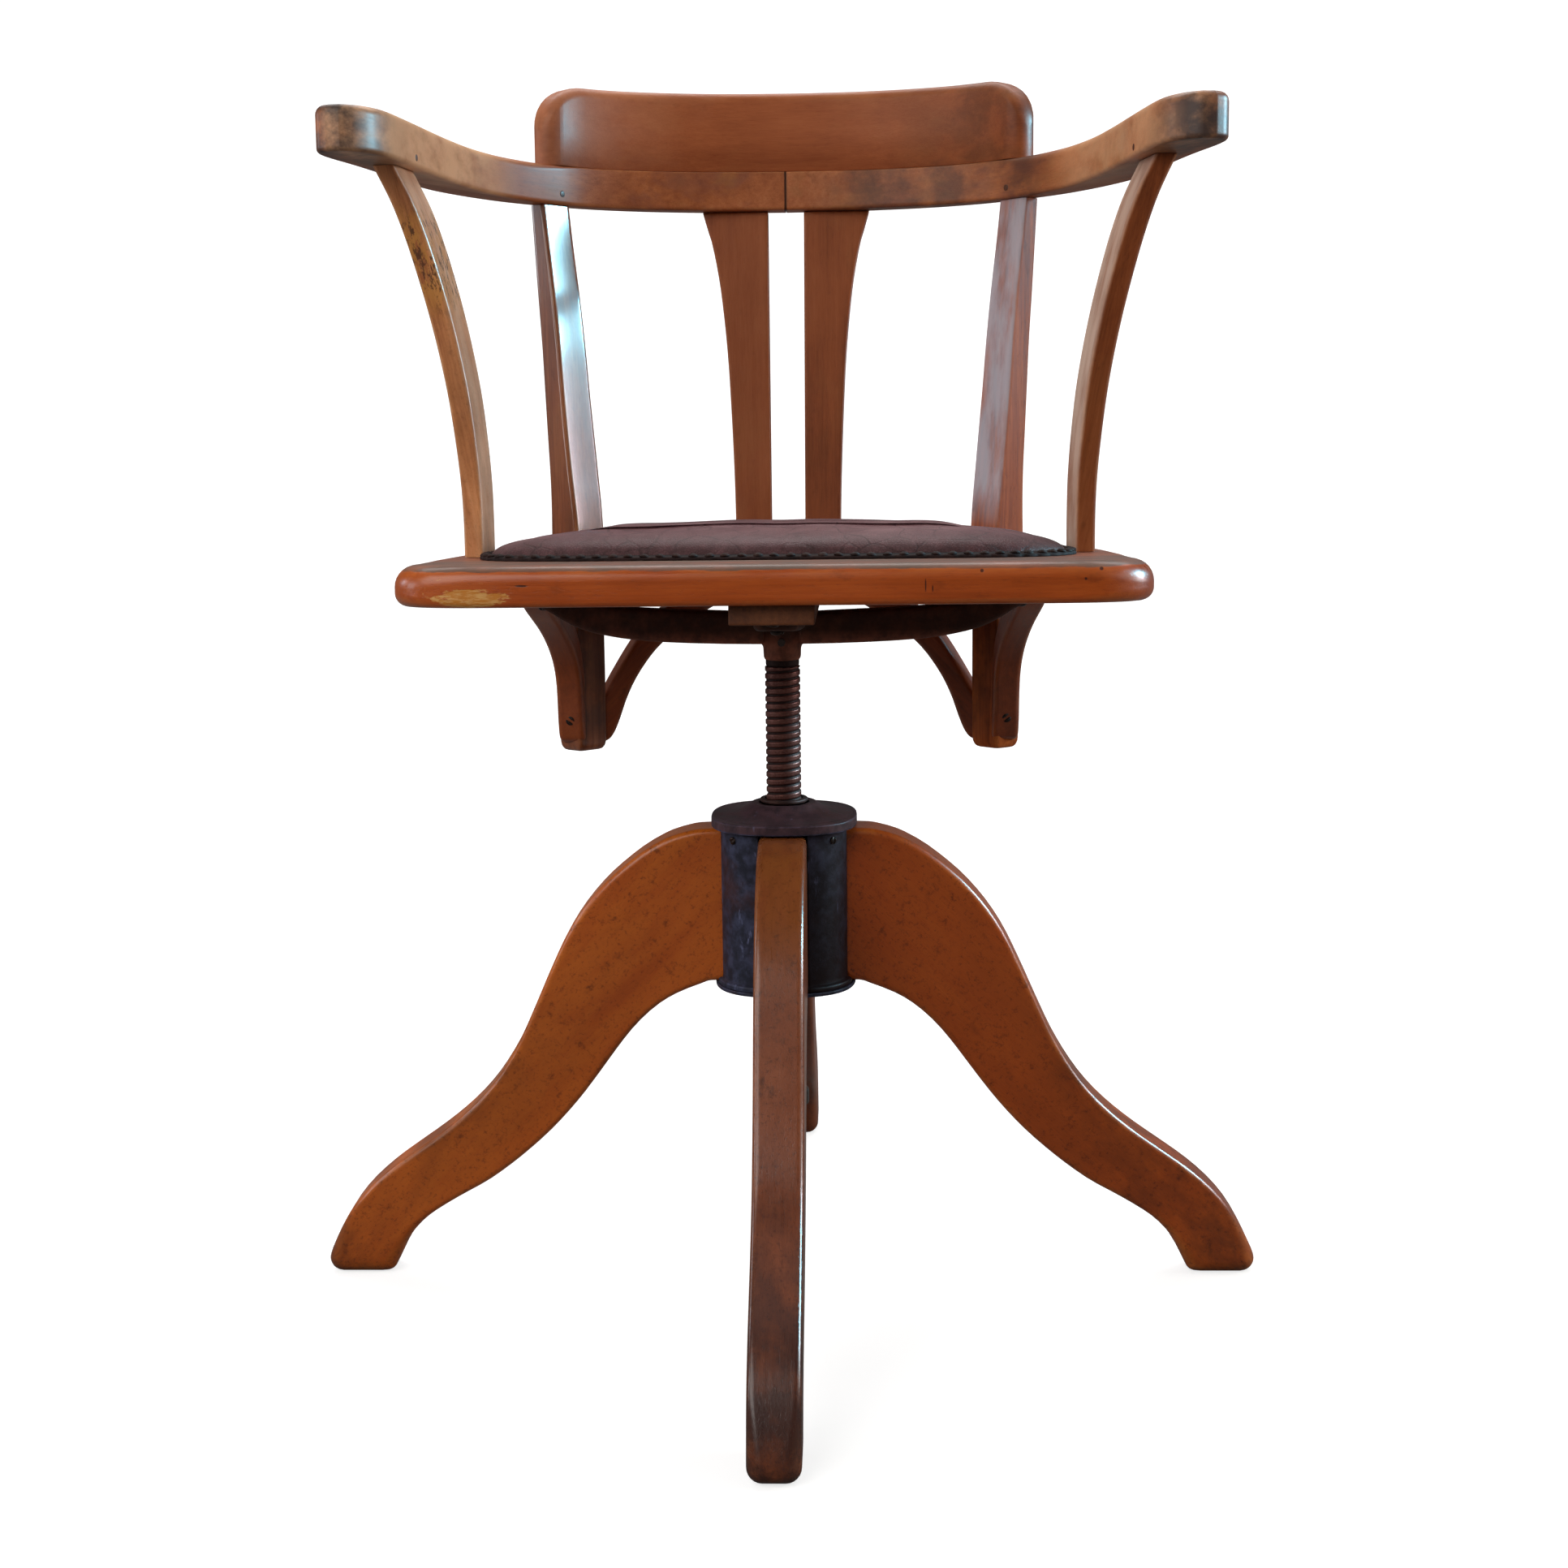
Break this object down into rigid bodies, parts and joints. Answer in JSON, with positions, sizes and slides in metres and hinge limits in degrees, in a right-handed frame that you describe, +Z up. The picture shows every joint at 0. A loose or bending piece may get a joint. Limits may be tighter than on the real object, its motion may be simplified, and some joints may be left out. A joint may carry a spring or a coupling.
{
  "type": "swivel desk chair",
  "caption": "Swivel desk chair in stained wood: bowed arm rail, curved crest, leather pad, and a seat that turns and climbs on an iron screw over splayed legs.",
  "frame": {"origin": "on the floor, centre of the spindle axis between the four feet", "axes": "+X to the viewer's right when facing the front of the chair, +Y from the front towards the back, +Z up"},
  "size_m": [0.64, 0.64, 0.8118],
  "materials": {
    "base_wood": "stained and varnished, satin with rubbed edges",
    "seat_wood": "stained and varnished, satin with rubbed edges",
    "dark_wood": "dark stained, unpolished",
    "black_iron": "black paint over a cast surface",
    "screw_steel": "dark oily patina with rust brown",
    "dull_steel": "dull patina",
    "screw_heads": "dull dark steel",
    "leather": "aged dark brown hide with a soft sheen",
    "edging_band": "dark woven band held by small nails"
  },
  "bodies": {
    "base": {"leg_right": "base_wood", "leg_rear": "base_wood", "leg_left": "base_wood", "leg_front": "base_wood", "hub_casting": "black_iron", "hub_nut": "dull_steel", "hub_bottom_plate": "black_iron", "hub_screw_front_left": "screw_heads", "hub_screw_front_right": "screw_heads", "hub_screw_rear_right": "screw_heads", "hub_screw_rear_left": "screw_heads", "plate_screw_front_left": "screw_heads", "plate_screw_front_right": "screw_heads", "plate_screw_rear_right": "screw_heads", "plate_screw_rear_left": "screw_heads"},
    "washer": {"spindle_washer": "dull_steel"},
    "seat": {"screw_spindle": "screw_steel", "spindle_end_stop": "dull_steel", "spider_casting": "black_iron", "spindle_cross_pin": "dull_steel", "spider_screw_left": "screw_heads", "spider_screw_right": "screw_heads", "spider_screw_front": "screw_heads", "spider_screw_rear": "screw_heads", "batten_screw_front": "screw_heads", "batten_screw_rear": "screw_heads", "seat_batten": "dark_wood", "seat_plank": "seat_wood", "rear_post_right": "seat_wood", "rear_post_left": "seat_wood", "brace_right_rear": "seat_wood", "brace_left_rear": "seat_wood", "brace_right_front": "seat_wood", "brace_left_front": "seat_wood", "brace_screw_right_rear": "screw_heads", "brace_screw_left_rear": "screw_heads", "brace_screw_right_front": "screw_heads", "brace_screw_left_front": "screw_heads", "splat_right": "seat_wood", "splat_left": "seat_wood", "arm_post_right": "seat_wood", "arm_post_left": "seat_wood", "rail_plug_right_front": "dark_wood", "rail_plug_left_front": "dark_wood", "rail_plug_right_rear": "dark_wood", "rail_plug_left_rear": "dark_wood", "arm_right": "seat_wood", "arm_left": "seat_wood", "crest_rail": "seat_wood", "seat_edging": "edging_band", "seat_pad": "leather"}
  },
  "joints": [
    {"name": "seat_turn", "type": "hinge", "parent": "base", "child": "washer", "pos_m": [0, 0, 0.33], "axis": [0, 0, 1], "range_deg": [-6480, 5400]},
    {"name": "screw_lift", "type": "slide", "parent": "washer", "child": "seat", "axis": [0, 0, 1], "range_m": [-0.0916, 0.0764]}
  ],
  "couplings": [
    {"joint": "screw_lift", "follows": "seat_turn", "m_per_rad": 0.00080851}
  ]
}
